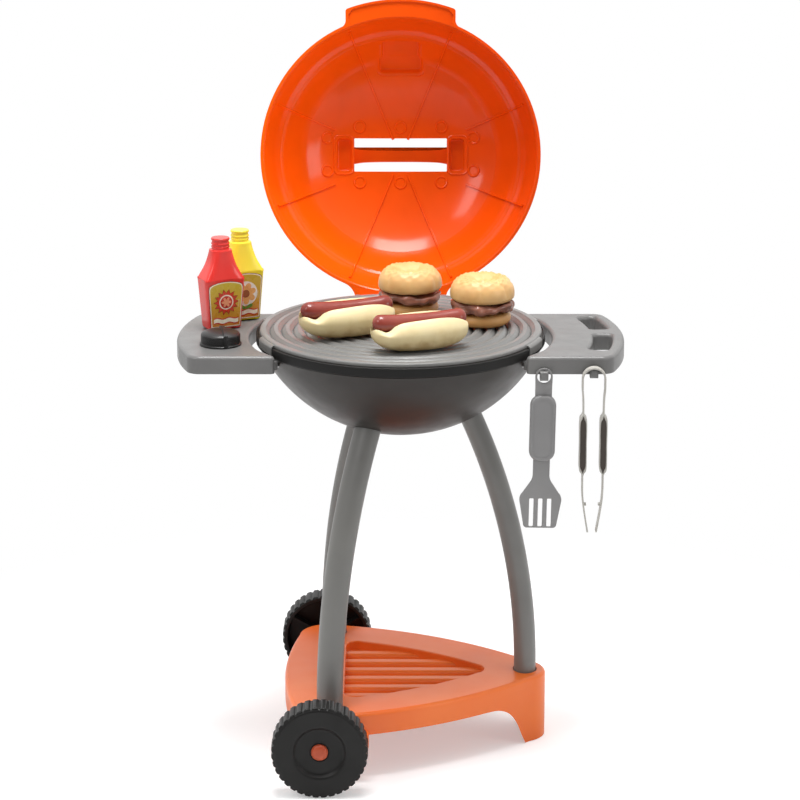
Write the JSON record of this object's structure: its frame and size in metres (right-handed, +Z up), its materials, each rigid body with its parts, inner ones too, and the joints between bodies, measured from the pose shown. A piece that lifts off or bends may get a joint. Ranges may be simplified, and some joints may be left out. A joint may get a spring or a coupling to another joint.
{
  "type": "toy barbecue grill",
  "caption": "Toy kettle barbecue on curved legs over a wheeled tray, with a hinged lid, side shelves, a clicking knob, play food, sauce bottles, spatula and tongs.",
  "frame": {"origin": "middle of the footprint at floor level, under the overall box", "axes": "X to the grill's right as seen from the front, Y to the back where the lid swings open, Z up"},
  "size_m": [0.5156, 0.5656, 0.8389],
  "materials": {
    "orange_lid": "glossy translucent-looking orange-red moulding",
    "orange_tray": "satin orange moulding",
    "kettle_black": "satin charcoal",
    "band_black": "black",
    "shelf_grey": "soft-sheen warm grey",
    "leg_grey": "soft-sheen grey",
    "wheel_grey": "near-black, fine satin",
    "knob_black": "black satin",
    "steel": "plain zinc-plated",
    "ketchup_red": "glossy red",
    "mustard_yellow": "glossy yellow",
    "label_gold": "printed film, gold ground with cream border",
    "bread": "pale bread colour, darker at the ends",
    "roll": "baked roll colour",
    "sausage_brown": "glossy dark red-brown",
    "patty_brown": "dark brown, pitted",
    "tool_grey": "mid grey",
    "tongs_silver": "silver-coloured plastic",
    "grip_brown": "dark brown"
  },
  "bodies": {
    "stand": {"bowl": "kettle_black", "rim_band": "band_black", "hinge_bracket": "shelf_grey", "hinge_pin": "steel", "left_shelf": "shelf_grey", "right_shelf": "shelf_grey", "click_pawl": "wheel_grey", "front_left_leg": "leg_grey", "rear_left_leg": "leg_grey", "right_leg": "leg_grey", "base_tray": "orange_tray", "axle": "steel", "front_hub_cap": "orange_tray", "rear_hub_cap": "orange_tray", "shelf_screw_1": "steel", "shelf_screw_2": "steel", "shelf_screw_3": "steel", "shelf_screw_4": "steel", "hinge_screw_1": "steel", "hinge_screw_2": "steel", "leg_top_screw_1": "steel", "leg_top_screw_2": "steel", "leg_top_screw_3": "steel", "leg_foot_screw_1": "steel", "leg_foot_screw_2": "steel", "leg_foot_screw_3": "steel"},
    "lid": {"lid": "orange_lid"},
    "grate": {"grate": "shelf_grey"},
    "knob": {"knob": "knob_black", "knob_ratchet": "wheel_grey"},
    "front_wheel": {"front_wheel": "wheel_grey"},
    "rear_wheel": {"rear_wheel": "wheel_grey"},
    "ketchup": {"ketchup_bottle": "ketchup_red", "ketchup_label": "label_gold"},
    "mustard": {"mustard_bottle": "mustard_yellow", "mustard_label": "label_gold"},
    "hot_dog_bun_1": {"hot_dog_bun_1": "bread"},
    "hot_dog_bun_2": {"hot_dog_bun_2": "bread"},
    "sausage_1": {"sausage_1": "sausage_brown"},
    "sausage_2": {"sausage_2": "sausage_brown"},
    "burger_base_1": {"burger_base_1": "roll"},
    "burger_base_2": {"burger_base_2": "roll"},
    "patty_1": {"patty_1": "patty_brown"},
    "patty_2": {"patty_2": "patty_brown"},
    "burger_crown_1": {"burger_crown_1": "roll"},
    "burger_crown_2": {"burger_crown_2": "roll"},
    "spatula": {"spatula": "tool_grey"},
    "tongs": {"tongs_bow": "tongs_silver"},
    "tongs_left_arm": {"tongs_left_arm": "tongs_silver", "tongs_left_grip": "grip_brown"},
    "tongs_right_arm": {"tongs_right_arm": "tongs_silver", "tongs_right_grip": "grip_brown"}
  },
  "joints": [
    {"name": "lid_hinge", "type": "hinge", "parent": "stand", "child": "lid", "pos_m": [0, 0.09892, 0.4885], "axis": [-1, 0, 0], "range_deg": [-103.2, 0]},
    {"name": "grate_lift", "type": "slide", "parent": "stand", "child": "grate", "axis": [0, 0, 1], "range_m": [0, 0.12]},
    {"name": "knob_turn", "type": "hinge", "parent": "stand", "child": "knob", "pos_m": [-0.2055, -0.12014, 0.491], "axis": [0, 0, 1], "continuous": true},
    {"name": "front_wheel_spin", "type": "hinge", "parent": "stand", "child": "front_wheel", "pos_m": [-0.0918, -0.28194, 0.055], "axis": [0, 1, 0], "continuous": true},
    {"name": "rear_wheel_spin", "type": "hinge", "parent": "stand", "child": "rear_wheel", "pos_m": [-0.0918, 0.12966, 0.055], "axis": [0, 1, 0], "continuous": true},
    {"name": "ketchup_lift", "type": "slide", "parent": "stand", "child": "ketchup", "axis": [0, 0, 1], "range_m": [0, 0.1]},
    {"name": "mustard_lift", "type": "slide", "parent": "stand", "child": "mustard", "axis": [0, 0, 1], "range_m": [0, 0.1]},
    {"name": "hot_dog_bun_1_lift", "type": "slide", "parent": "grate", "child": "hot_dog_bun_1", "axis": [0, 0, 1], "range_m": [0, 0.08]},
    {"name": "sausage_1_lift", "type": "slide", "parent": "hot_dog_bun_1", "child": "sausage_1", "axis": [0, 0, 1], "range_m": [0, 0.05]},
    {"name": "burger_base_1_lift", "type": "slide", "parent": "grate", "child": "burger_base_1", "axis": [0, 0, 1], "range_m": [0, 0.08]},
    {"name": "patty_1_lift", "type": "slide", "parent": "burger_base_1", "child": "patty_1", "axis": [0, 0, 1], "range_m": [0, 0.05]},
    {"name": "burger_crown_1_lift", "type": "slide", "parent": "patty_1", "child": "burger_crown_1", "axis": [0, 0, 1], "range_m": [0, 0.05]},
    {"name": "hot_dog_bun_2_lift", "type": "slide", "parent": "grate", "child": "hot_dog_bun_2", "axis": [0, 0, 1], "range_m": [0, 0.08]},
    {"name": "sausage_2_lift", "type": "slide", "parent": "hot_dog_bun_2", "child": "sausage_2", "axis": [0, 0, 1], "range_m": [0, 0.05]},
    {"name": "burger_base_2_lift", "type": "slide", "parent": "grate", "child": "burger_base_2", "axis": [0, 0, 1], "range_m": [0, 0.08]},
    {"name": "patty_2_lift", "type": "slide", "parent": "burger_base_2", "child": "patty_2", "axis": [0, 0, 1], "range_m": [0, 0.05]},
    {"name": "burger_crown_2_lift", "type": "slide", "parent": "patty_2", "child": "burger_crown_2", "axis": [0, 0, 1], "range_m": [0, 0.05]},
    {"name": "spatula_off", "type": "slide", "parent": "stand", "child": "spatula", "axis": [0, -1, 0], "range_m": [0, 0.04]},
    {"name": "tongs_off", "type": "slide", "parent": "stand", "child": "tongs", "axis": [0, -1, 0], "range_m": [0, 0.04]},
    {"name": "tongs_left_squeeze", "type": "hinge", "parent": "tongs", "child": "tongs_left_arm", "pos_m": [0.2049, -0.18414, 0.45547], "axis": [0, -1, 0], "range_deg": [0, 1.1], "stiffness_Nm_per_rad": 0.3},
    {"name": "tongs_right_squeeze", "type": "hinge", "parent": "tongs", "child": "tongs_right_arm", "pos_m": [0.2303, -0.18414, 0.45547], "axis": [0, 1, 0], "range_deg": [0, 1.1], "stiffness_Nm_per_rad": 0.3}
  ],
  "couplings": [
    {"joint": "tongs_right_squeeze", "follows": "tongs_left_squeeze", "ratio": 1}
  ]
}
